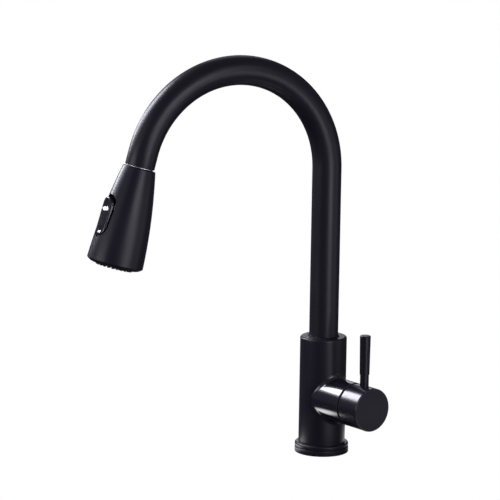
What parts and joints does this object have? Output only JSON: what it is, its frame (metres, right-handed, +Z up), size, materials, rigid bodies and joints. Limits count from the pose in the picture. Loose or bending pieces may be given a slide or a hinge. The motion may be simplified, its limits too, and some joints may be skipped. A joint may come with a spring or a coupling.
{
  "type": "pull down kitchen faucet",
  "caption": "Gooseneck kitchen tap with a side mixer handle on a round body and a pull-down spray head with a rocker switch.",
  "frame": {"origin": "on the column's axis, in the plane of the worktop that the base gasket sits on", "axes": "+Z up along the column, +X along the mixer barrel towards the handle; the spout leaves over the sink towards -Y, turned 10.7 degrees towards -X"},
  "size_m": [0.1424, 0.2703, 0.4825],
  "materials": {
    "black_metal": "satin black",
    "black_handle": "semi-gloss black, faintly brushed",
    "black_plastic": "satin black",
    "black_rubber": "matte",
    "grey_silicone": "soft matte",
    "brass": "turned",
    "steel": "turned",
    "chrome_trim": "polished",
    "zinc": "cast, satin",
    "white_plastic": "moulded",
    "ceramic": "lapped",
    "hose_braid": "woven nylon"
  },
  "bodies": {
    "body": {"base_gasket": "black_rubber", "base_ring": "black_metal", "trim_ring": "black_metal", "mixer_body": "black_metal", "mounting_shank": "brass", "rubber_clamp_washer": "black_rubber", "steel_clamp_washer": "steel", "mounting_nut": "brass", "outlet_pipe": "brass", "cartridge_seals": "black_rubber", "cartridge_housing": "white_plastic", "fixed_disc": "ceramic", "cartridge_nut": "brass", "barrel_trim_ring": "black_plastic", "spout_bushes": "white_plastic", "thrust_washer": "white_plastic", "spout_wiper": "black_rubber", "spout_set_screw": "steel", "hose_lower": "hose_braid", "hose_coupling": "brass"},
    "cartridge_rotor": {"stem_guide": "white_plastic", "pivot_pin": "steel"},
    "handle": {"cartridge_stem": "zinc", "handle_cap": "black_handle", "stem_adapter": "zinc", "handle_grub_screw": "steel", "lever_ferrule": "black_handle", "lever_rod": "black_handle"},
    "ceramic_slider": {"moving_disc": "ceramic", "disc_carrier": "white_plastic"},
    "spout": {"spout_tube": "black_metal", "spout_foot": "brass", "dock_collar": "black_plastic", "dock_ring": "chrome_trim", "hose_upper": "hose_braid"},
    "hose_end": {"hose_ferrule": "steel", "hose_end_fitting": "brass"},
    "spray_head": {"head_shell": "black_plastic", "head_neck": "white_plastic", "check_valve": "white_plastic", "diverter_body": "white_plastic", "spray_face": "black_plastic", "nozzle_mat": "grey_silicone", "aerator": "white_plastic", "rocker_bezel": "black_rubber", "rocker_pin": "steel"},
    "spray_rocker": {"rocker_button": "black_plastic"},
    "diverter": {"diverter_spool": "white_plastic"}
  },
  "joints": [
    {"name": "spout_swivel", "type": "hinge", "parent": "body", "child": "spout", "pos_m": [0, 0, 0.1], "axis": [0, 0, 1], "range_deg": [-180, 180]},
    {"name": "spray_head_pull", "type": "slide", "parent": "spout", "child": "hose_end", "axis": [-0.0496, -0.2626, -0.9636], "range_m": [0, 0.19], "deforming": ["hose_upper"]},
    {"name": "spray_head_turn", "type": "hinge", "parent": "hose_end", "child": "spray_head", "pos_m": [-0.03662, -0.19378, 0.29064], "axis": [-0.0496, -0.2626, -0.9636], "range_deg": [-180, 180]},
    {"name": "spray_mode_rocker", "type": "hinge", "parent": "spray_head", "child": "spray_rocker", "pos_m": [-0.04215, -0.22304, 0.24654], "axis": [-0.9826, 0.1857, 0], "range_deg": [0, 8]},
    {"name": "diverter_slide", "type": "slide", "parent": "spray_head", "child": "diverter", "axis": [-0.0496, -0.2626, -0.9636], "range_m": [0, 0.00187]},
    {"name": "handle_temperature", "type": "hinge", "parent": "body", "child": "cartridge_rotor", "pos_m": [0.036, 0, 0.0554], "axis": [1, 0, 0], "range_deg": [-45, 45]},
    {"name": "handle_flow", "type": "hinge", "parent": "cartridge_rotor", "child": "handle", "pos_m": [0.036, 0, 0.0554], "axis": [0, 1, 0], "range_deg": [0, 20]},
    {"name": "ceramic_slide", "type": "slide", "parent": "cartridge_rotor", "child": "ceramic_slider", "axis": [0, 0, 1], "range_m": [0, 0.0028]}
  ],
  "couplings": [
    {"joint": "spray_mode_rocker", "follows": "diverter_slide", "rad_per_m": 74.45},
    {"joint": "ceramic_slide", "follows": "handle_flow", "m_per_rad": 0.0079}
  ]
}
